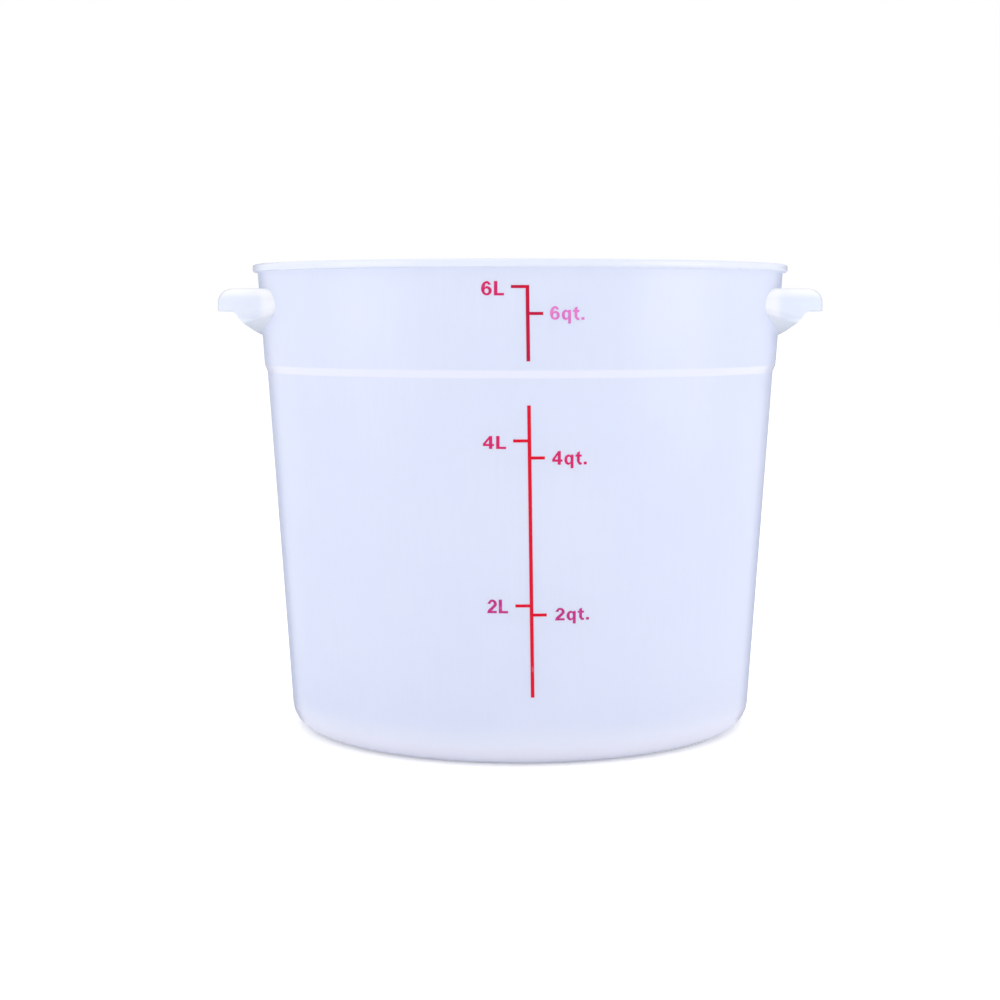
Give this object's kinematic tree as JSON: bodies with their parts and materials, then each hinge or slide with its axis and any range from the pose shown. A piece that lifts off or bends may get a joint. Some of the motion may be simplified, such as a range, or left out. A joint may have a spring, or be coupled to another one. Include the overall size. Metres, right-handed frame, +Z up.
{
  "type": "dough proofing container",
  "caption": "Round tapered food tub with a stacking shoulder, a lid rim, two hooded finger grips and a printed volume scale, for proofing dough.",
  "frame": {"origin": "middle of the foot, on the surface that the tub stands on", "axes": "+Z up along the tub's axis, the ears on the X axis, and the printed scale on the -Y side"},
  "size_m": [0.2544, 0.2254, 0.1945],
  "materials": {
    "tub": "satin milky polypropylene",
    "ear": "satin milky polypropylene, thicker than the wall",
    "ink": "red screen-printing ink"
  },
  "bodies": {
    "root": {"tub": "tub", "ear_left": "ear", "ear_right": "ear", "scale_lower": "ink", "scale_upper": "ink"}
  },
  "joints": []
}
